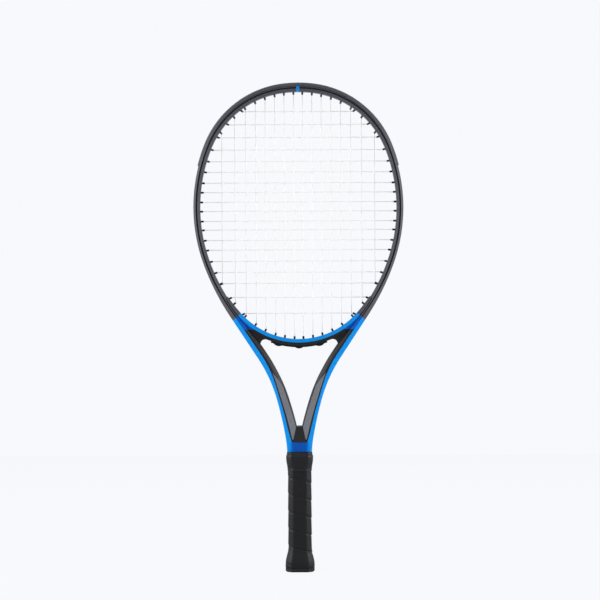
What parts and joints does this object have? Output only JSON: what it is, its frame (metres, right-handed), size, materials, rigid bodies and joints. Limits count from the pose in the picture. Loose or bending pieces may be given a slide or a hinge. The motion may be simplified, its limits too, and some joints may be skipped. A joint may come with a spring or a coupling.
{
  "type": "tennis racket",
  "caption": "Strung tennis racket with an open throat: oval hollow head on two shafts, woven string bed, bumper guard, grommets and a wrapped octagonal handle.",
  "frame": {"origin": "centre of the flat end of the butt, where the racket would stand on its handle", "axes": "+Z from the butt up to the head along the racket's centre line; X across the head; Y is the depth of the beam, with the strings in the XZ plane; the face seen first is -Y"},
  "size_m": [0.2726, 0.035, 0.6348],
  "materials": {
    "frame_paint": "hard moulded composite with gloss and satin paint: black head, bright blue shafts, grey facets",
    "bridge_paint": "same painted composite as the head",
    "plug_plastic": "satin dark plastic insert, bare face",
    "bumper_plastic": "black moulded nylon, light satin",
    "grommet_plastic": "black moulded nylon",
    "main_gut": "natural coloured synthetic string, smooth",
    "cross_gut": "natural coloured synthetic string, smooth",
    "knot_gut": "natural coloured synthetic string, knotted",
    "pallet_foam": "rigid moulded polyurethane",
    "cap_plastic": "black moulded plastic, satin",
    "badge_plastic": "plain black badge, gloss",
    "staple_steel": "bright staple wire",
    "grip_cushion": "black cushioned synthetic grip, matte, perforated",
    "tape_vinyl": "black vinyl tape",
    "collar_rubber": "black moulded rubber, satin"
  },
  "bodies": {
    "root": {"frame_hairpin": "frame_paint", "throat_bridge": "bridge_paint", "throat_plug": "plug_plastic", "bumper_guard": "bumper_plastic", "grommet_strip_left": "grommet_plastic", "grommet_strip_right": "grommet_plastic", "throat_grommets": "grommet_plastic", "main_string": "main_gut", "cross_string": "cross_gut", "string_knots": "knot_gut", "handle_pallet": "pallet_foam", "butt_cap": "cap_plastic", "butt_badge": "badge_plastic", "butt_staples": "staple_steel", "grip_wrap": "grip_cushion", "finishing_tape": "tape_vinyl", "rubber_collar": "collar_rubber"}
  },
  "joints": []
}
